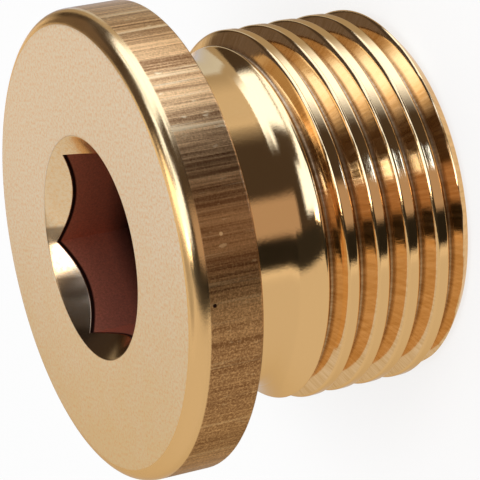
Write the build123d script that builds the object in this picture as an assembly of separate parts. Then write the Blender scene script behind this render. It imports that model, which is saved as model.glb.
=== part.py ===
from build123d import *
from math import ceil, radians, tan
import os

# Hexagon-socket screw plug with collar, size G 1/2 A: one solid piece of brass.
# Frame: +Z runs along the screw axis with the head up. The origin is the centre
# of the sealing face, the flat ring under the collar. All sizes are in mm.

# Collar
collar_diameter = 26.0
collar_thickness = 4.0
collar_edge_radius = 0.95      # from the head face round to the collar side
seat_edge_chamfer = 0.15       # broken edge between the collar side and the sealing face

# Hexagon socket
hex_across_flats = 10.0
hex_depth = 7.5                # from the head face to the foot of the flats
socket_mouth_diameter = 12.35  # countersink around the mouth
countersink_angle = 90.0
drill_point_angle = 118.0      # cone that the pilot drill leaves below the hexagon

# Shank: neck, run-in cone, threaded length, chamfered end
shank_length = 14.0            # from the sealing face to the free end
neck_length = 3.45
neck_depth = 1.25              # how far the neck lies below the thread's crests
neck_root_chamfer = 0.3        # 45 degrees, between the neck and the sealing face
run_in_length = 2.0            # gentle cone between the neck and the thread
run_in_depth = 0.575           # how far below the crests that cone ends
run_in_step_length = 0.4       # from there up to the crests
end_chamfer = 0.75             # 45 degrees

# Thread G 1/2 A: 14 threads per inch, 55 degrees between flanks, right-handed
thread_diameter = 20.9         # over the crests
thread_pitch = 25.4 / 14
flank_angle = 55.0
crest_width = 0.65             # flat along the top of the ridge
root_width = 0.2               # flat along the bottom of the groove
crest_height_at_x = -6.54      # Z of the crest where it crosses the +X side

cutter_overlap = 0.3           # how far the shapes that cut the shank reach past it
groove_start_angle = 40.0      # the groove starts here, clear of the bar's own seam on +X

# Worked out from the sizes above
collar_radius = collar_diameter / 2
crest_radius = thread_diameter / 2
cutter_radius = crest_radius + cutter_overlap
neck_radius = crest_radius - neck_depth
run_in_radius = crest_radius - run_in_depth
run_in_start = -neck_length
run_in_end = run_in_start - run_in_length
thread_start = run_in_end - run_in_step_length
free_end = -shank_length


def turned_blank():
    """The plug as it leaves the lathe: collar and plain shank."""
    with BuildPart() as blank:
        with BuildSketch(Plane.XZ):
            with BuildLine():
                edge_start = (collar_radius - collar_edge_radius, collar_thickness)
                edge_end = (collar_radius, collar_thickness - collar_edge_radius)
                Polyline((0, free_end), (0, collar_thickness), edge_start)
                RadiusArc(edge_start, edge_end, collar_edge_radius)
                Polyline(
                    edge_end,
                    (collar_radius, seat_edge_chamfer),
                    (collar_radius - seat_edge_chamfer, 0),
                    (crest_radius, 0),
                    (crest_radius, free_end + end_chamfer),
                    (crest_radius - end_chamfer, free_end),
                    (0, free_end),
                )
            make_face()
        revolve(axis=Axis.Z)
    return blank.part


def neck_undercut():
    """What turning the neck removes, up to the run-in cone and step."""
    with BuildPart() as undercut:
        with BuildSketch(Plane.XZ):
            with BuildLine():
                Polyline(
                    (cutter_radius, 0),
                    (neck_radius + neck_root_chamfer, 0),
                    (neck_radius, -neck_root_chamfer),
                    (neck_radius, run_in_start),
                    (run_in_radius, run_in_end),
                    (crest_radius, thread_start),
                    (cutter_radius, thread_start),
                    close=True,
                )
            make_face()
        revolve(axis=Axis.Z)
    return undercut.part


def hexagon_socket():
    """What the socket removes: hexagon, countersunk mouth and drill point."""
    mouth_radius = socket_mouth_diameter / 2
    countersink_depth = mouth_radius / tan(radians(countersink_angle / 2))
    point_radius = hex_across_flats / 2
    point_depth = point_radius / tan(radians(drill_point_angle / 2))
    socket_floor = collar_thickness - hex_depth
    with BuildPart() as socket:
        with BuildSketch(Plane.XY.offset(socket_floor)):
            RegularPolygon(hex_across_flats / 2, 6, major_radius=False)
        extrude(amount=hex_depth)
        with Locations((0, 0, collar_thickness)):
            Cone(
                0, mouth_radius, countersink_depth,
                align=(Align.CENTER, Align.CENTER, Align.MAX),
            )
        with Locations((0, 0, socket_floor)):
            Cone(
                0, point_radius, point_depth,
                align=(Align.CENTER, Align.CENTER, Align.MAX),
            )
    return socket.part


def thread_groove():
    """What the thread removes: one helical groove with a narrow flat bottom.

    It starts below the free end and ends where the neck is turned away.
    """
    flank_slope = tan(radians(flank_angle / 2))
    half_mouth = (thread_pitch - crest_width) / 2
    half_root = root_width / 2
    half_opening = half_mouth + cutter_overlap * flank_slope
    root_radius = crest_radius - (half_mouth - half_root) / flank_slope

    rise = thread_pitch * groove_start_angle / 360
    groove_height = crest_height_at_x - thread_pitch / 2 + rise
    turns_below = ceil((groove_height - free_end + half_opening) / thread_pitch)
    start = groove_height - turns_below * thread_pitch
    end = run_in_start + half_mouth
    path = Helix(thread_pitch, end - start, crest_radius, center=(0, 0, start))

    with BuildSketch(Plane((0, 0, start), x_dir=(1, 0, 0), z_dir=(0, -1, 0))) as section:
        with BuildLine():
            Polyline(
                (cutter_radius, -half_opening),
                (root_radius, -half_root),
                (root_radius, half_root),
                (cutter_radius, half_opening),
                close=True,
            )
        make_face()
    groove = sweep(section.sketch.face(), path=path, is_frenet=True)
    return Rot(0, 0, groove_start_angle) * groove


plug = turned_blank() - thread_groove() - neck_undercut() - hexagon_socket()
plug.label = "screw_plug"

os.makedirs("parts", exist_ok=True)
export_step(plug, "parts/screw_plug.step")
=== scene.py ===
import math
from types import SimpleNamespace

import bmesh
import bpy
from mathutils import Matrix, Vector


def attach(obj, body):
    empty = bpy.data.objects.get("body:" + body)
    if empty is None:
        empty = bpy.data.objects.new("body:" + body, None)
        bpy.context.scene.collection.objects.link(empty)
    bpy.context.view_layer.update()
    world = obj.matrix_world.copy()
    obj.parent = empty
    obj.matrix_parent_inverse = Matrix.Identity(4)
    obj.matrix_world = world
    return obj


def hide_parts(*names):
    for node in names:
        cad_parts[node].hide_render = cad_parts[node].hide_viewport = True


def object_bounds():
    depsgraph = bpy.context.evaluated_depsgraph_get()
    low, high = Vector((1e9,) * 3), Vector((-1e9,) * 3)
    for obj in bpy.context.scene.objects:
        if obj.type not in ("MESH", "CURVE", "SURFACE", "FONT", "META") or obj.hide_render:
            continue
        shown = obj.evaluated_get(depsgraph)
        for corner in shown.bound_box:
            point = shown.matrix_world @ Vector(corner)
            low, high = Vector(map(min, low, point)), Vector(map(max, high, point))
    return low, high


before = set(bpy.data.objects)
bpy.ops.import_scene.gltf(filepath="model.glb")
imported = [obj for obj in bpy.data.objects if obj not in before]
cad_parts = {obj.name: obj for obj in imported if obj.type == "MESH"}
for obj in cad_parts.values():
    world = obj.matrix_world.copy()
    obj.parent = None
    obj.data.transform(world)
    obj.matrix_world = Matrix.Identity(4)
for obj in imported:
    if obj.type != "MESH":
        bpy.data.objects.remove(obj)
cad_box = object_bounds()

# A hexagon-socket screw plug of brass on a white floor. Lengths are in mm unless a comment says
# otherwise, and Blender works in metres. Z is measured from the sealing face, with the head up.
MM = 0.001

# Head
COLLAR_RADIUS = cad_box[1].x / MM
HEAD_HEIGHT = cad_box[1].z / MM
COLLAR_EDGE_RADIUS = 0.95
SEAT_CHAMFER = 0.15
SOCKET_MOUTH_RADIUS = 6.175         # the countersink's wall lies at 45 degrees
HEXAGON_INRADIUS = 5.0
HEXAGON_DEPTH = 7.5
DRILL_POINT_ANGLE = 118.0
SOCKET_FOOT = HEAD_HEIGHT - HEXAGON_DEPTH
DRILL_POINT_DEPTH = HEXAGON_INRADIUS / math.tan(math.radians(DRILL_POINT_ANGLE / 2))

# Shank
FREE_END = cad_box[0].z / MM
END_CHAMFER = 0.75
NECK_RADIUS = 9.2
NECK_ROOT_CHAMFER = 0.3
NECK_TOP = -0.9                     # the neck is plain between these two heights,
NECK_FOOT = -3.0                    # and the rows that climb begin at the second

# Run-in: a hollow that steepens from the neck to the crests
RUN_IN_START = -3.46
RUN_IN_LENGTH = 1.6
RUN_IN_SLOPE = 0.855                # how steep it is at that length
RUN_IN_POWER = 2.2
RUN_IN_RISE = RUN_IN_SLOPE * RUN_IN_LENGTH / RUN_IN_POWER

# Thread, right-handed
PITCH = 25.4 / 14                   # 14 threads per inch
FLANK_ANGLE = 55.0                  # between the two flanks
CREST_RADIUS = 10.45
HALF_CREST = 0.325
HALF_ROOT = 0.1
FLANK_SLOPE = math.tan(math.radians(FLANK_ANGLE / 2))
ROOT_RADIUS = CREST_RADIUS - (PITCH / 2 - HALF_CREST - HALF_ROOT) / FLANK_SLOPE
CREST_AT_X = -6.54                  # height of a crest where it crosses the +X side

# How far the edges are softened
CREST_SOFTNESS = 0.24
ROOT_SOFTNESS = 0.15
CHAMFER_SOFTNESS = 0.08
FIRST_RIDGE_SOFTNESS = 0.30
MOUTH_SOFTNESS = 0.12
SCALLOP_SOFTNESS = 0.02
SEAT_SOFTNESS = 0.05
NECK_ROOT_SOFTNESS = 0.1

# Mesh
COLUMNS = 240                       # a multiple of 6, so that the hexagon's corners fall on columns
ROWS_PER_PITCH = 48
ROUNDING_STEPS = 5
COLLAR_EDGE_STEPS = 12
END_FACE_RINGS = 4
MERGE_DISTANCE = 0.002
SHARP_ANGLE = math.radians(30)

# Marks on the collar's side
# The pit is not modelled: it is painted black, as painted shade in its hollow
PIT = (12.76, -2.48, 2.79)
PIT_RADIUS = 0.11
NICK = (12.96, 1.07, 1.97)
NICK_RADIUS = 0.10

# Where the finishes meet. A pair is an edge and the width of the ramp across it.
SOCKET_EDGE = (0.05, 0.04)          # below the countersink
RIM_SHADE_EDGE = (0.26, 0.12)        # end of the painted shade line below the countersink
UNDER_SOCKET = -10.0                # a height between the drill point and the free end
COLLAR_EDGE_RAMP = 0.1              # the edge is the foot of the rounded band
FACE_MARGIN = 0.02                  # below the face
SIDE_MARGIN = 0.03                  # inside the chamfer of the collar's side
END_MARGIN = 0.04                   # above the free end
THREAD_EDGE = (0.10, 0.08)          # below the run-in's hollow
GROOVE_EDGE = (0.10, 0.10)          # below the crests
ROOT_EDGE = (0.78, 0.25)            # below the crests

# Where the tones change, from one place to the other. They are values of Y unless they say more.
# Painted light leaves the face paler towards +Y
FACE_PAINTED_LIGHT_FADES = (7.0, -6.0)
FACE_WANDER = 10.0                  # how far the patches shift that change
SIDE_CHANGES = (-2.5, 1.5)          # from specks to scores, with painted light on the scores and dents towards +Y
# Painted light sharpens the side's streaks towards +Y, and painted shade darkens them towards -Y
STREAKS_SHARPEN = (0.0, 6.0)
STREAKS_PAINTED_SHADE = (4.0, -1.0)
# the countersink's brown zones are painted dark reflections
CONE_LARGE_REFLECTION_BEGINS = (-1.7, -2.1)
CONE_LARGE_REFLECTION_PALES = (-4.7, -3.2)
CONE_SMALL_REFLECTION = (-0.1, 0.85)
FLANKS_PAINTED_HIGHLIGHT = (math.radians(40), math.radians(58))  # turn from +X of the flanks' painted highlight
SOCKET_SHADE_DEPTHS = (3.3, 4.8)         # depth below the face, over which painted shade blackens the socket
SOCKET_SHADE_DARKEST = 0.9                # share of painted black shade from there on
ROOT_SHADE_SHARE = 0.7

# Finish
RELIEF_HEIGHT = 0.006
POLISHED_ROUGHNESS = (0.06, 0.11)
FLANK_ROUGHNESS = (0.08, 0.15)
ROOT_ROUGHNESS = 0.35
BAND_ROUGHNESS = (0.14, 0.24)
FACE_ROUGHNESS = (0.30, 0.42)
SIDE_ROUGHNESS = (0.28, 0.46)
CONE_ROUGHNESS = 0.2
SOCKET_ROUGHNESS = 0.5

# Camera, on the plug's +X side and rolled so that the axis lies across the picture
CAMERA_AZIMUTH = 7.718              # degrees from +X
CAMERA_ELEVATION = 24.429
CAMERA_ROLL = -101.544
CAMERA_TARGET = (0.159, -1.170, -4.884)
CAMERA_DISTANCE = 153.925           # from its target
CAMERA_LENS = 208.3
CAMERA_SENSOR = 36.0
CAMERA_CLIP_START = 5.0

# Studio
WORLD_STRENGTH = 0.85
FLOOR_HALF_WIDTH = 600.0
FLOOR_WHITE_SHARE = 0.75            # the rest of the floor is diffuse, which shows the shadow
FLOOR_CARD_REACH = 420
FLOOR_CARD_GAP = 0.02               # between two layers of cards
SKY_CARD_FOOT = -14                 # degrees of elevation
CARD_STEPS = 40


def colour(red, green, blue):
    return (red, green, blue, 1.0)


# Tones of the brass, named after the surface where most of each is seen
POLISHED_BRASS = colour(0.93, 0.57, 0.24)
FLANK_DARK = colour(0.76, 0.46, 0.19)
FLANK_LIGHT = colour(0.96, 0.64, 0.34)
# The flanks' pale tone is a painted highlight
FLANK_PAINTED_HIGHLIGHT = colour(1.0, 0.74, 0.43)
FACE_BRASS = colour(0.98, 0.82, 0.62)
FACE_GOLD = colour(0.93, 0.69, 0.39)
SIDE_BRASS = colour(0.22, 0.09, 0.03)
SIDE_STREAK = colour(0.92, 0.51, 0.20)
SIDE_LIGHT = colour(1.0, 0.70, 0.34)
NICK_BRASS = colour(1.0, 0.66, 0.30)
CONE_BRASS = colour(0.95, 0.70, 0.42)
# The countersink's brown is a painted dark reflection
CONE_DARK_REFLECTION = colour(0.17, 0.10, 0.05)
# The socket's red-brown and black are painted shade inside the hexagon
SOCKET_SHADE_BROWN = colour(0.80, 0.28, 0.15)
SHADE_BLACK = colour(0.03, 0.012, 0.008)
EDGE_TINT = colour(0.85, 0.72, 0.55)

# Floor and cards
WHITE = colour(1.0, 1.0, 1.0)
FLOOR_GREY = colour(0.9, 0.9, 0.9)
BROWN_WALL = colour(1.0, 0.84, 0.78)
WINDOW = colour(0.53, 0.69, 1.06)   # daylight, cooler than the walls
GLINT = colour(0.50, 0.75, 1.40)


def direction(azimuth, elevation):
    """Unit vector towards a place in the sky. Both angles are in degrees, and +X is azimuth 0."""
    turn = math.radians(azimuth)
    rise = math.radians(elevation)
    return (
        math.cos(turn) * math.cos(rise),
        math.sin(turn) * math.cos(rise),
        math.sin(rise),
    )


def mesh_from(name, corners, faces):
    """A mesh from corners in mm."""
    mesh = bpy.data.meshes.new(name)
    mesh.from_pydata([tuple(part * MM for part in corner) for corner in corners], [], faces)
    return mesh


# ---------------------------------------------------------------- plug

def soft_min(first, second, softness):
    """The smaller of two values, with the corner between them rounded off."""
    share = min(max(0.5 + 0.5 * (second - first) / softness, 0.0), 1.0)
    return second + (first - second) * share - softness * share * (1 - share)


def soft_max(first, second, softness):
    return -soft_min(-first, -second, softness)


def climb(angle):
    """How far the helix has climbed at an angle."""
    return PITCH * angle / (2 * math.pi)


def run_in_radius(height):
    """Radius of the hollow between the neck and the crests."""
    along = max(RUN_IN_START - height, 0.0) / RUN_IN_LENGTH
    return NECK_RADIUS + RUN_IN_RISE * along ** RUN_IN_POWER


def shank_radius(angle, height):
    """Radius of the shank below the neck: run-in, crests and end chamfer, less the groove."""
    climbed = height - CREST_AT_X - climb(angle)
    from_crest = abs(climbed - PITCH * round(climbed / PITCH))
    flank = CREST_RADIUS - (from_crest - HALF_CREST) / FLANK_SLOPE
    chamfer = CREST_RADIUS - END_CHAMFER + (height - FREE_END)
    ridge = soft_min(CREST_RADIUS, flank, CREST_SOFTNESS)
    ridge = soft_max(ridge, ROOT_RADIUS, ROOT_SOFTNESS)
    ridge = soft_min(ridge, run_in_radius(height), FIRST_RIDGE_SOFTNESS)
    return soft_min(ridge, chamfer, CHAMFER_SOFTNESS)


def hexagon_radius(angle):
    """Distance from the axis to the hexagon's flats. A corner lies at angle 0."""
    sector = math.radians(60)
    from_flat = (angle % sector) - sector / 2
    return HEXAGON_INRADIUS / math.cos(from_flat)


def rounded_line(corners):
    """Points along a line of straight runs. Each corner is (radius, height, softness), where
    the softness is how far from the corner its rounding starts."""
    points = []
    for i, (radius, height, softness) in enumerate(corners):
        here = Vector((radius, height))
        if softness == 0:
            points.append(here)
            continue
        back = (Vector(corners[i - 1][:2]) - here).normalized() * softness
        ahead = (Vector(corners[i + 1][:2]) - here).normalized() * softness
        for step in range(ROUNDING_STEPS + 1):
            share = step / ROUNDING_STEPS
            points.append(here + back * (1 - share) ** 2 + ahead * share ** 2)
    return points


def head_profile(angle):
    """The head and neck at one angle, from the axis in the socket out to the neck's foot."""
    flat = hexagon_radius(angle)
    edge = COLLAR_EDGE_RADIUS
    inner = rounded_line([
        (0, SOCKET_FOOT - DRILL_POINT_DEPTH, 0),
        (HEXAGON_INRADIUS, SOCKET_FOOT, 0),
        (flat, SOCKET_FOOT, 0),
        (flat, HEAD_HEIGHT - SOCKET_MOUTH_RADIUS + flat, SCALLOP_SOFTNESS),
        (SOCKET_MOUTH_RADIUS, HEAD_HEIGHT, MOUTH_SOFTNESS),
        (COLLAR_RADIUS - edge, HEAD_HEIGHT, 0),
    ])
    round_edge = []
    for step in range(1, COLLAR_EDGE_STEPS):
        turn = math.radians(90 - 90 * step / COLLAR_EDGE_STEPS)
        round_edge.append(Vector((
            COLLAR_RADIUS - edge + edge * math.cos(turn),
            HEAD_HEIGHT - edge + edge * math.sin(turn),
        )))
    outer = rounded_line([
        (COLLAR_RADIUS, HEAD_HEIGHT - edge, 0),
        (COLLAR_RADIUS, SEAT_CHAMFER, SEAT_SOFTNESS),
        (COLLAR_RADIUS - SEAT_CHAMFER, 0, SEAT_SOFTNESS),
        (NECK_RADIUS + NECK_ROOT_CHAMFER, 0, NECK_ROOT_SOFTNESS),
        (NECK_RADIUS, -NECK_ROOT_CHAMFER, NECK_ROOT_SOFTNESS),
        (NECK_RADIUS, NECK_TOP, 0),
        (NECK_RADIUS, NECK_FOOT, 0),
    ])
    return inner + round_edge + outer


def shank_profile(angle):
    """The shank at one angle, from the free end up to the neck's foot. Its rows climb with the
    helix, and the rows that would pass either end stay on it."""
    first_row = math.floor((FREE_END - PITCH - CREST_AT_X) * ROWS_PER_PITCH / PITCH)
    end_row = math.ceil((NECK_FOOT + PITCH - CREST_AT_X) * ROWS_PER_PITCH / PITCH)
    profile = []
    for row in range(first_row, end_row):
        height = CREST_AT_X + PITCH * row / ROWS_PER_PITCH + climb(angle)
        height = min(max(height, FREE_END), NECK_FOOT)
        profile.append((shank_radius(angle, height), height))
    return profile


def end_face_profile(angle):
    rim = shank_radius(angle, FREE_END)
    return [(rim * ring / END_FACE_RINGS, FREE_END) for ring in range(END_FACE_RINGS + 1)]


def add_surface(corners, faces, profile, rows_per_turn=0):
    """Adds a surface round the axis: one column of points for each angle, as profile gives
    them, and the faces between the columns. Where the rows climb with the helix, the last
    column meets the first one rows_per_turn rows further on."""
    base = len(corners)
    for column in range(COLUMNS):
        angle = 2 * math.pi * column / COLUMNS
        points = profile(angle)
        for radius, height in points:
            corners.append((radius * math.cos(angle), radius * math.sin(angle), height))

    rows = len(points)
    for column in range(COLUMNS):
        last = column == COLUMNS - 1
        shift = rows_per_turn if last else 0
        start = base + column * rows
        beside = base + shift if last else start + rows
        for row in range(rows - 1 - shift):
            faces.append((start + row, start + row + 1, beside + row + 1, beside + row))


def plug_mesh():
    """The whole plug with its edges softened, as one closed mesh."""
    corners, faces = [], []
    add_surface(corners, faces, head_profile)
    add_surface(corners, faces, shank_profile, ROWS_PER_PITCH)
    add_surface(corners, faces, end_face_profile)

    mesh = mesh_from("plug", corners, faces)
    work = bmesh.new()
    work.from_mesh(mesh)
    bmesh.ops.remove_doubles(work, verts=work.verts, dist=MERGE_DISTANCE * MM)
    bmesh.ops.recalc_face_normals(work, faces=work.faces)
    for face in work.faces:
        face.smooth = True
    for edge in work.edges:
        edge.smooth = not edge.is_manifold or edge.calc_face_angle() < SHARP_ANGLE
    work.to_mesh(mesh)
    work.free()
    return mesh


# ---------------------------------------------------------------- node trees

class Nodes:
    """Short names for building one node tree. A value can be a number or an output socket."""

    def __init__(self, tree):
        self.tree = tree
        tree.nodes.clear()

    def add(self, kind, **settings):
        node = self.tree.nodes.new(kind)
        for name, value in settings.items():
            setattr(node, name, value)
        return node

    def feed(self, socket, value):
        if isinstance(value, bpy.types.NodeSocket):
            self.tree.links.new(value, socket)
        else:
            socket.default_value = value

    def math(self, operation, *values, clamp=False):
        node = self.add("ShaderNodeMath", operation=operation, use_clamp=clamp)
        for socket, value in zip(node.inputs, values):
            self.feed(socket, value)
        return node.outputs[0]

    def times(self, first, second):
        return self.math("MULTIPLY", first, second)

    def plus(self, first, second):
        return self.math("ADD", first, second)

    def minus(self, first, second):
        return self.math("SUBTRACT", first, second)

    def length(self, x, y):
        return self.math("SQRT", self.plus(self.math("POWER", x, 2.0), self.math("POWER", y, 2.0)))

    def step(self, value, edge, width=0.02):
        """0 below the edge and 1 above it, with a short ramp between."""
        node = self.add("ShaderNodeMapRange", interpolation_type="SMOOTHSTEP")
        self.feed(node.inputs["Value"], value)
        self.feed(node.inputs["From Min"], edge - width / 2)
        self.feed(node.inputs["From Max"], edge + width / 2)
        return node.outputs[0]

    def under(self, value, edge, width=0.02):
        """1 below the edge and 0 above it."""
        return self.minus(1.0, self.step(value, edge, width))

    def between(self, value, low, high, width):
        """1 between two edges and 0 outside them."""
        return self.minus(self.step(value, low, width), self.step(value, high, width))

    def disc(self, place, centre, radius):
        """1 within a radius of a point, and 0 outside it."""
        node = self.add("ShaderNodeVectorMath", operation="DISTANCE")
        self.feed(node.inputs[0], place)
        self.feed(node.inputs[1], centre)
        return self.under(node.outputs["Value"], radius, radius / 2)

    def map(self, value, from_low, from_high, to_low, to_high):
        """Carries one range over to another, and stops at its ends."""
        node = self.add("ShaderNodeMapRange")
        for socket, given in zip(node.inputs, (value, from_low, from_high, to_low, to_high)):
            self.feed(socket, given)
        return node.outputs[0]

    def spread(self, noise, low, high):
        """Carries a noise over to a range. Most of a noise lies between 0.3 and 0.7."""
        return self.map(noise, 0.3, 0.7, low, high)

    def mix(self, share, first, second):
        node = self.add("ShaderNodeMix", data_type="FLOAT")
        self.feed(node.inputs["Factor"], share)
        self.feed(node.inputs["A"], first)
        self.feed(node.inputs["B"], second)
        return node.outputs["Result"]

    def mix_colour(self, share, first, second):
        node = self.add("ShaderNodeMix", data_type="RGBA")
        self.feed(node.inputs[0], share)
        self.feed(node.inputs[6], first)
        self.feed(node.inputs[7], second)
        return node.outputs[2]

    def paint(self, tone, over, value, start, full, most=1.0):
        """Paints a colour over a tone: none of it at start, and the share called most at full."""
        return self.mix_colour(self.map(value, start, full, 0.0, most), tone, over)

    def mix_shader(self, share, first, second):
        node = self.add("ShaderNodeMixShader")
        for socket, value in zip(node.inputs, (share, first, second)):
            self.feed(socket, value)
        return node.outputs[0]

    def vector(self, x, y, z):
        node = self.add("ShaderNodeCombineXYZ")
        for socket, value in zip(node.inputs, (x, y, z)):
            self.feed(socket, value)
        return node.outputs[0]

    def noise(self, vector, scale, detail, roughness=0.5):
        node = self.add("ShaderNodeTexNoise")
        self.feed(node.inputs["Vector"], vector)
        self.feed(node.inputs["Scale"], scale)
        self.feed(node.inputs["Detail"], detail)
        self.feed(node.inputs["Roughness"], roughness)
        return node.outputs["Fac"]

    def glow(self, tint, strength=1.0):
        node = self.add("ShaderNodeEmission")
        self.feed(node.inputs["Color"], tint)
        self.feed(node.inputs["Strength"], strength)
        return node.outputs[0]

    def finish(self, kind, surface):
        """Ends the tree, with an output node of the given kind."""
        output = self.add(kind)
        self.feed(output.inputs["Surface"], surface)


def material_nodes(name):
    """A new material, and the nodes of its empty tree."""
    material = bpy.data.materials.new(name)
    material.use_nodes = True
    return material, Nodes(material.node_tree)


# ---------------------------------------------------------------- brass

def place_on_plug(n):
    """Where a point of the plug lies, in mm and radians."""
    scaled = n.add("ShaderNodeVectorMath", operation="SCALE")
    n.feed(scaled.inputs[0], n.add("ShaderNodeTexCoord").outputs["Object"])
    n.feed(scaled.inputs["Scale"], 1 / MM)
    point = scaled.outputs[0]
    split = n.add("ShaderNodeSeparateXYZ")
    n.feed(split.inputs[0], point)
    x, y, height = split.outputs
    return SimpleNamespace(
        point=point,
        y=y,
        height=height,
        depth=n.minus(HEAD_HEIGHT, height),
        radius=n.length(x, y),
        turn=n.math("ARCTAN2", y, x),
    )


def socket_surfaces(n, at):
    """The socket's walls, their part in painted black shade, and the countersink."""
    in_mouth = n.under(at.radius, SOCKET_MOUTH_RADIUS)
    under_cone = n.minus(n.plus(at.radius, HEAD_HEIGHT - SOCKET_MOUTH_RADIUS), at.height)
    walls = n.times(in_mouth, n.step(under_cone, *SOCKET_EDGE))
    walls = n.times(walls, n.step(at.height, UNDER_SOCKET))
    # Painted shade: a black line below the countersink's edge, and black that deepens with depth
    rim_shade = n.under(under_cone, *RIM_SHADE_EDGE)
    painted_shade = n.map(at.depth, *SOCKET_SHADE_DEPTHS, 0.0, SOCKET_SHADE_DARKEST)
    painted_black_shade = n.math("MAXIMUM", rim_shade, painted_shade)
    cone = n.math("MULTIPLY", in_mouth, n.minus(n.step(at.height, 0.0), walls), clamp=True)
    return walls, painted_black_shade, cone


def collar_surfaces(n, at):
    """The head's face, the rounded band round it, and the collar's side."""
    on_top = n.step(at.height, HEAD_HEIGHT - FACE_MARGIN)
    face = n.times(on_top, n.step(at.radius, SOCKET_MOUTH_RADIUS))
    under_band = n.under(at.height, HEAD_HEIGHT - COLLAR_EDGE_RADIUS, COLLAR_EDGE_RAMP)
    beside_face = n.step(at.radius, COLLAR_RADIUS - COLLAR_EDGE_RADIUS)
    band = n.times(n.minus(1.0, under_band), beside_face)
    side = n.times(n.step(at.radius, COLLAR_RADIUS - SEAT_CHAMFER - SIDE_MARGIN), under_band)
    return face, band, side


def groove_surfaces(n, at):
    """The thread's groove, and its root."""
    along = n.math("DIVIDE", n.minus(RUN_IN_START, at.height), RUN_IN_LENGTH)
    rise = n.math("POWER", n.math("MAXIMUM", along, 0.0), RUN_IN_POWER)
    run_in = n.plus(n.times(rise, RUN_IN_RISE), NECK_RADIUS)
    on_thread = n.step(n.minus(run_in, at.radius), *THREAD_EDGE)
    above_end = n.step(at.height, FREE_END + END_MARGIN)
    below_crest = n.times(above_end, n.minus(CREST_RADIUS, at.radius))
    groove = n.times(on_thread, n.step(below_crest, *GROOVE_EDGE))
    root = n.times(on_thread, n.step(below_crest, *ROOT_EDGE))
    return groove, root


def surfaces_of_plug(n, at):
    """How much a point belongs to each surface of the plug, from 0 to 1."""
    socket, painted_black_shade, cone = socket_surfaces(n, at)
    face, band, side = collar_surfaces(n, at)
    groove, root = groove_surfaces(n, at)
    return SimpleNamespace(
        socket=socket,
        painted_black_shade=painted_black_shade,
        cone=cone,
        face=face,
        band=band,
        side=side,
        groove=groove,
        root=root,
        pit=n.disc(at.point, PIT, PIT_RADIUS),
        nick=n.disc(at.point, NICK, NICK_RADIUS),
    )


def patterns_on_plug(n, at):
    """The marks of the tools and of handling, as noises, with painted shade that darkens the streaks
    towards -Y. Their scales are per mm.
    """
    around = (
        n.times(n.math("COSINE", at.turn), COLLAR_RADIUS),
        n.times(n.math("SINE", at.turn), COLLAR_RADIUS),
    )

    def drawn_out(shortening, **noise):
        """Noise round the plug that is drawn out along the axis, as heights are shortened."""
        return n.noise(n.vector(*around, n.times(at.height, shortening)), **noise)

    grain = n.noise(at.point, scale=9.0, detail=3.0, roughness=0.65)
    fine_streaks = drawn_out(shortening=0.012, scale=5.0, detail=5.0, roughness=0.75)
    broad_streaks = drawn_out(shortening=0.012, scale=0.9, detail=2.0)
    streaks = n.plus(n.times(fine_streaks, 0.5), n.times(broad_streaks, 0.3))
    streaks = n.plus(streaks, n.times(grain, 0.2))
    # Painted shade: the streaks darken towards -Y
    painted_shade = n.map(at.y, *STREAKS_PAINTED_SHADE, 0.0, -0.035)
    return SimpleNamespace(
        grain=grain,
        specks=n.noise(at.point, scale=5.5, detail=4.0, roughness=0.7),
        patches=n.noise(at.point, scale=0.5, detail=3.0),
        fine_streaks=fine_streaks,
        streaks=n.plus(streaks, painted_shade),
        scores=drawn_out(shortening=0.03, scale=1.6, detail=3.0, roughness=0.6),
        dents=drawn_out(shortening=0.35, scale=3.6, detail=2.0),
        chatter=drawn_out(shortening=0.3, scale=4.0, detail=2.0),
        turning=n.noise(n.vector(at.radius, 0.0, at.height), scale=12.0, detail=2.0),
    )


def face_tone(n, at, pattern):
    """The head's face: matt, with painted light that leaves it paler towards +Y and golden towards -Y,
    and with darker specks.
    """
    # Painted light: paler towards +Y, its edge shifted by random patches
    wandering = n.plus(at.y, n.times(pattern.patches, FACE_WANDER))
    tone = n.paint(FACE_BRASS, FACE_GOLD, wandering, *FACE_PAINTED_LIGHT_FADES)
    return n.paint(tone, SIDE_STREAK, pattern.specks, start=0.56, full=0.34, most=0.7)


def side_tone(n, at, pattern):
    """The collar's side: streaked and scored towards +Y, speckled towards -Y, with painted light that
    sharpens the streaks and lightens the scores and dents towards +Y, and painted shade towards -Y.
    """
    sharp_streaks = n.map(pattern.streaks, 0.41, 0.59, 0.0, 1.0)
    soft_streaks = n.map(pattern.streaks, 0.34, 0.76, 0.0, 1.0)
    # Painted light: the streaks sharpen and the scores and dents lighten towards +Y
    sharpness = n.map(at.y, *STREAKS_SHARPEN, 0.0, 1.0)
    streaked = n.mix(sharpness, soft_streaks, sharp_streaks)
    marked = n.map(at.y, *SIDE_CHANGES, 0.2, 0.6)
    speckled = n.map(at.y, *SIDE_CHANGES, 0.42, 0.0)

    tone = n.mix_colour(streaked, SIDE_BRASS, SIDE_STREAK)
    tone = n.paint(tone, SIDE_BRASS, pattern.scores, start=0.58, full=0.66, most=0.75)
    tone = n.paint(tone, SIDE_LIGHT, pattern.scores, start=0.42, full=0.34, most=marked)
    tone = n.paint(tone, SIDE_LIGHT, pattern.dents, start=0.66, full=0.74, most=marked)
    tone = n.paint(tone, SIDE_STREAK, pattern.grain, start=0.50, full=0.66, most=speckled)
    return n.paint(tone, SIDE_BRASS, pattern.grain, start=0.50, full=0.36, most=speckled)


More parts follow.
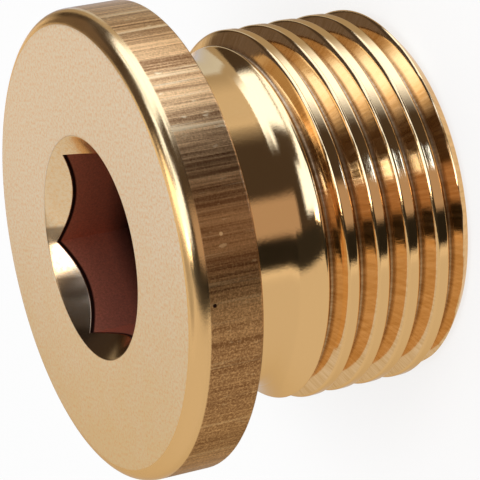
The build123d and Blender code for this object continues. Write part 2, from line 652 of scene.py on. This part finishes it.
def flank_tone(n, at, pattern):
    """The thread's flanks: marked by chatter, with a painted highlight over a paler stretch."""
    tone = n.paint(FLANK_DARK, FLANK_LIGHT, pattern.chatter, start=0.25, full=0.75)
    # Painted highlight: the flanks are paler over this stretch of turn
    pale = n.between(at.turn, *FLANKS_PAINTED_HIGHLIGHT, width=0.2)
    pale = n.times(pale, n.map(pattern.patches, 0.3, 0.6, 0.5, 1.0))
    return n.mix_colour(pale, tone, FLANK_PAINTED_HIGHLIGHT)


def root_shade_tone(n, pattern):
    """The bottom of the groove, painted darker as shade in the groove."""
    return n.paint(SIDE_BRASS, FLANK_DARK, pattern.chatter, start=0.35, full=0.65, most=0.35)


def cone_tone(n, at, pattern):
    """The countersink: speckled, with a small painted dark reflection and a large one towards -Y."""
    tone = n.paint(CONE_BRASS, SIDE_STREAK, pattern.specks, start=0.45, full=0.65, most=0.6)
    # Painted reflection: brown zones stand for the dark surroundings the countersink mirrors
    paled = n.times(n.between(at.y, *CONE_LARGE_REFLECTION_PALES, width=0.5), 0.35)
    large_reflection = n.minus(n.map(at.y, *CONE_LARGE_REFLECTION_BEGINS, 0.0, 0.9), paled)
    small_reflection = n.times(n.between(at.y, *CONE_SMALL_REFLECTION, width=0.25), 0.7)
    return n.mix_colour(n.math("MAXIMUM", large_reflection, small_reflection), tone, CONE_DARK_REFLECTION)


def socket_tone(n, on, pattern):
    """The hexagon's walls: red-brown painted shade, and painted black shade at the rim and deep down."""
    tone = n.paint(SOCKET_SHADE_BROWN, SHADE_BLACK, pattern.grain, start=0.3, full=0.7, most=0.3)
    # The black is painted shade
    return n.mix_colour(on.painted_black_shade, tone, SHADE_BLACK)


def plug_tone(n, at, on, pattern):
    tone = n.mix_colour(on.groove, POLISHED_BRASS, flank_tone(n, at, pattern))
    # Painted shade at the groove's root
    tone = n.mix_colour(n.times(on.root, ROOT_SHADE_SHARE), tone, root_shade_tone(n, pattern))
    tone = n.mix_colour(on.face, tone, face_tone(n, at, pattern))
    tone = n.mix_colour(on.side, tone, side_tone(n, at, pattern))
    tone = n.mix_colour(on.cone, tone, cone_tone(n, at, pattern))
    # Painted shade: the pit is painted black
    tone = n.mix_colour(on.pit, tone, SHADE_BLACK)
    tone = n.mix_colour(on.nick, tone, NICK_BRASS)
    return n.mix_colour(on.socket, tone, socket_tone(n, on, pattern))


def plug_roughness(n, on, pattern):
    rough = n.spread(pattern.patches, *POLISHED_ROUGHNESS)
    rough = n.mix(on.groove, rough, n.spread(pattern.chatter, *FLANK_ROUGHNESS))
    rough = n.mix(on.root, rough, ROOT_ROUGHNESS)
    rough = n.mix(on.band, rough, n.spread(pattern.patches, *BAND_ROUGHNESS))
    rough = n.mix(on.face, rough, n.spread(pattern.grain, *FACE_ROUGHNESS))
    rough = n.mix(on.side, rough, n.spread(pattern.fine_streaks, *SIDE_ROUGHNESS))
    rough = n.mix(on.cone, rough, CONE_ROUGHNESS)
    return n.mix(on.socket, rough, SOCKET_ROUGHNESS)


def plug_relief(n, on, pattern):
    """How high the fine patterns stand, as shares of RELIEF_HEIGHT."""
    relief = n.plus(n.times(pattern.turning, 0.15), n.times(pattern.specks, 0.5))
    relief = n.mix(on.groove, relief, n.times(pattern.chatter, 0.45))
    relief = n.mix(on.root, relief, 0.22)
    relief = n.mix(on.band, relief, n.times(pattern.grain, 0.6))
    relief = n.mix(on.face, relief, n.times(pattern.grain, 1.6))
    return n.mix(on.side, relief, n.times(pattern.fine_streaks, 1.5))


def brass_material():
    """One brass for the whole plug. Each surface has its own finish, told apart by its place."""
    material, n = material_nodes("brass")
    at = place_on_plug(n)
    on = surfaces_of_plug(n, at)
    pattern = patterns_on_plug(n, at)

    bump = n.add("ShaderNodeBump")
    n.feed(bump.inputs["Height"], plug_relief(n, on, pattern))
    n.feed(bump.inputs["Distance"], RELIEF_HEIGHT * MM)

    shader = n.add("ShaderNodeBsdfPrincipled")
    n.feed(shader.inputs["Base Color"], plug_tone(n, at, on, pattern))
    n.feed(shader.inputs["Metallic"], 1.0)
    n.feed(shader.inputs["Specular Tint"], EDGE_TINT)
    n.feed(shader.inputs["Roughness"], plug_roughness(n, on, pattern))
    n.feed(shader.inputs["Normal"], bump.outputs[0])
    n.finish("ShaderNodeOutputMaterial", shader.outputs[0])
    return material


def place_plug():
    plug = bpy.data.objects.new("plug", plug_mesh())
    plug.data.materials.append(brass_material())
    bpy.context.scene.collection.objects.link(plug)
    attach(plug, "root")
    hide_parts("screw_plug")


# ---------------------------------------------------------------- studio

def stage_mesh(name, corners, faces, material):
    made = bpy.data.objects.new(name, mesh_from(name, corners, faces))
    made.data.materials.append(material)
    bpy.context.scene.collection.objects.link(made)
    return made


def floor_material():
    """White to the camera and in the metal, and still a diffuse floor that keeps the shadow."""
    material, n = material_nodes("floor")
    ray = n.add("ShaderNodeLightPath").outputs
    seen = n.math("ADD", ray["Is Camera Ray"], ray["Is Glossy Ray"], clamp=True)
    seen = n.math("ADD", seen, ray["Is Transmission Ray"], clamp=True)
    diffuse = n.add("ShaderNodeBsdfDiffuse")
    n.feed(diffuse.inputs["Color"], FLOOR_GREY)
    surface = n.mix_shader(n.times(seen, FLOOR_WHITE_SHARE), diffuse.outputs[0], n.glow(WHITE))
    n.finish("ShaderNodeOutputMaterial", surface)
    return material


def place_floor():
    half = FLOOR_HALF_WIDTH
    corners = [(x, y, FREE_END) for x, y in ((-half, -half), (half, -half), (half, half), (-half, half))]
    stage_mesh("floor", corners, [(0, 1, 2, 3)], floor_material())


def card_material(name, tint, strength):
    """A glowing card, as solid as its mesh's attribute "shown" says."""
    material, n = material_nodes(name)
    shown = n.add("ShaderNodeAttribute", attribute_name="shown").outputs["Fac"]
    clear = n.add("ShaderNodeBsdfTransparent").outputs[0]
    surface = n.mix_shader(shown, clear, n.glow(tint, strength))
    n.finish("ShaderNodeOutputMaterial", surface)
    return material


def fade(value, low, high, rim):
    """0 at low and at high, rising to 1 over a rim inside them."""
    share = max(min(1.0, (value - low) / rim, (high - value) / rim), 0.0)
    return share ** 2 * (3 - 2 * share)


def evenly(low, high):
    """The places of a card's rows or columns, from low to high."""
    return [low + (high - low) * step / CARD_STEPS for step in range(CARD_STEPS + 1)]


def card(name, rows, shown, tint, strength):
    """A card on rows of points. The metal mirrors it, and it lights nothing else."""
    width = len(rows[0])
    faces = [
        (row * width + i, (row + 1) * width + i, (row + 1) * width + i + 1, row * width + i + 1)
        for row in range(len(rows) - 1)
        for i in range(width - 1)
    ]
    corners = [corner for row in rows for corner in row]
    made = stage_mesh(name, corners, faces, card_material(name, tint, strength))
    made.data.attributes.new("shown", "FLOAT", "POINT").data.foreach_set("value", shown)
    made.visible_camera = False
    made.visible_diffuse = False
    made.visible_shadow = False
    made.visible_transmission = False


def sky_card(name, azimuths, elevations, radius, strength, rim, tint=WHITE, lean=0.0):
    """A card curved round the plug, between two azimuths and two elevations in degrees. It
    rises by lean degrees for each degree of azimuth, and fades out over rim degrees."""
    rows, shown = [], []
    for azimuth in evenly(*azimuths):
        row = []
        for elevation in evenly(*elevations):
            towards = direction(azimuth, elevation + lean * (azimuth - azimuths[0]))
            row.append(tuple(radius * part for part in towards))
            shown.append(fade(azimuth, *azimuths, rim) * fade(elevation, *elevations, rim))
        rows.append(row)
    card(name, rows, shown, tint, strength)


def floor_card(name, azimuths, distances, strength, rim, layer, tint=WHITE):
    """A card that lies on the floor beside the plug and spreads away from it, between two
    azimuths in degrees and two distances from the shank.

    A ray that the shank mirrors towards an azimuth leaves the shank at half that angle,
    measured from the camera, so the card's edges start there. They show as lines along the
    shank.
    """
    rows, shown = [], []
    for azimuth in evenly(*azimuths):
        foot = math.radians((azimuth + CAMERA_AZIMUTH) / 2)
        away = math.radians(azimuth)
        rows.append([
            (
                CREST_RADIUS * math.cos(foot) + distance * math.cos(away),
                CREST_RADIUS * math.sin(foot) + distance * math.sin(away),
                FREE_END + layer * FLOOR_CARD_GAP,
            )
            for distance in distances
        ])
        shown += [fade(azimuth, *azimuths, rim)] * len(distances)
    card(name, rows, shown, tint, strength)


def place_floor_cards():
    """What the plug's upright walls mirror. A higher layer covers the ones below it."""
    whole = (0, FLOOR_CARD_REACH)
    floor_card("floor_grey", (-190, -31), whole, strength=0.66, rim=14, layer=1)
    floor_card("floor_far_grey", (98, 176), whole, strength=0.44, rim=8, layer=1)
    floor_card("floor_shade", (-37, 74), whole, strength=0.065, rim=6, layer=2, tint=BROWN_WALL)
    floor_card("floor_wedge", (-15, 20), whole, strength=0.48, rim=8, layer=3, tint=BROWN_WALL)
    floor_card("floor_black", (-34, -10), whole, strength=0.02, rim=5, layer=4)

    near, middle, far = (0, 17), (17, 34), (34, FLOOR_CARD_REACH)
    floor_card("floor_window_near", (48, 122), near, strength=3.0, rim=30, layer=5, tint=WINDOW)
    floor_card("floor_window_middle", (55, 125), middle, strength=0.66, rim=25, layer=5)
    floor_card("floor_window_far", (43, 116), far, strength=3.0, rim=24, layer=5, tint=WINDOW)
    floor_card("floor_pale", (126, 176), (19, 60), strength=1.25, rim=8, layer=6, tint=WINDOW)

    # The glints lie where the flanks mirror the floor. Between these rings the crests mirror it.
    for ring in ((2.95, 3.35), (4.8, 6.0), (7.9, 9.8)):
        name = f"floor_glint_{ring[0]}"
        floor_card(name, (12, 29), ring, strength=6.5, rim=4, layer=6, tint=GLINT)


def place_sky_cards():
    """What the plug's sloping surfaces mirror. A nearer card covers the ones behind it."""
    foot = SKY_CARD_FOOT
    sky_card("wall_dark", (-38, 165), (foot, 75), 330, strength=0.065, rim=9, tint=BROWN_WALL)
    sky_card("wall_far_top", (-179, -24), (62, 90), 330, strength=0.4, rim=8)
    sky_card("wall_brown", (128, 172), (8, 44), 322, strength=0.15, rim=6, tint=BROWN_WALL)
    sky_card("wall_grey", (-179, -26), (foot, 66), 320, strength=0.68, rim=8)
    sky_card("wedge", (-15, 20), (foot, 18), 310, strength=0.48, rim=8, tint=BROWN_WALL)
    sky_card("wall_black", (-36, -6), (foot, 72), 305, strength=0.03, rim=5)

    sky_card("window_side", (58, 114), (foot, 52), 300, strength=3.0, rim=9, tint=WINDOW, lean=-0.33)
    sky_card("window_low", (44, 112), (foot, 10), 298, strength=3.0, rim=10, tint=WINDOW)
    sky_card("window_front", (-2, 40), (30, 80), 300, strength=3.0, rim=8, tint=WINDOW)
    sky_card("window_high", (24, 88), (40, 53), 296, strength=3.0, rim=4, tint=WINDOW)
    sky_card("window_spot", (50, 70), (51, 63), 294, strength=3.0, rim=4, tint=WINDOW)
    sky_card("window_bar", (50, 116), (39, 43), 285, strength=0.35, rim=1.5, lean=-0.33)
    sky_card("window_top", (-6, 172), (70, 90), 290, strength=2.2, rim=7)


def place_lamp(name, azimuth, elevation, distance, width, power):
    """A square soft lamp that looks at the plug. The angles are in degrees, the power in watts."""
    data = bpy.data.lights.new(name, "AREA")
    data.shape = "SQUARE"
    data.size = width * MM
    data.energy = power
    lamp = bpy.data.objects.new(name, data)
    back = Vector(direction(azimuth, elevation))
    lamp.location = back * distance * MM
    lamp.rotation_euler = back.to_track_quat("Z", "Y").to_euler()
    bpy.context.scene.collection.objects.link(lamp)


def place_world():
    made = bpy.data.worlds.new("studio")
    made.use_nodes = True
    n = Nodes(made.node_tree)
    back = n.add("ShaderNodeBackground")
    n.feed(back.inputs["Color"], WHITE)
    n.feed(back.inputs["Strength"], WORLD_STRENGTH)
    n.finish("ShaderNodeOutputWorld", back.outputs[0])
    bpy.context.scene.world = made


def place_camera():
    back = Vector(direction(CAMERA_AZIMUTH, CAMERA_ELEVATION))
    upright = back.to_track_quat("Z", "Y").to_matrix()
    rolled = Matrix.Rotation(math.radians(CAMERA_ROLL), 3, back) @ upright
    data = bpy.data.cameras.new("camera")
    data.lens = CAMERA_LENS
    data.sensor_width = CAMERA_SENSOR
    data.clip_start = CAMERA_CLIP_START * MM
    made = bpy.data.objects.new("camera", data)
    target = Vector(CAMERA_TARGET) * MM
    made.matrix_world = Matrix.Translation(target + back * CAMERA_DISTANCE * MM) @ rolled.to_4x4()
    bpy.context.scene.collection.objects.link(made)
    bpy.context.scene.camera = made


place_plug()
place_floor()
place_floor_cards()
place_sky_cards()
place_lamp("key", azimuth=12.0, elevation=62.0, distance=320.0, width=120.0, power=0.3)
place_world()
place_camera()

bpy.context.scene.view_settings.view_transform = "Standard"
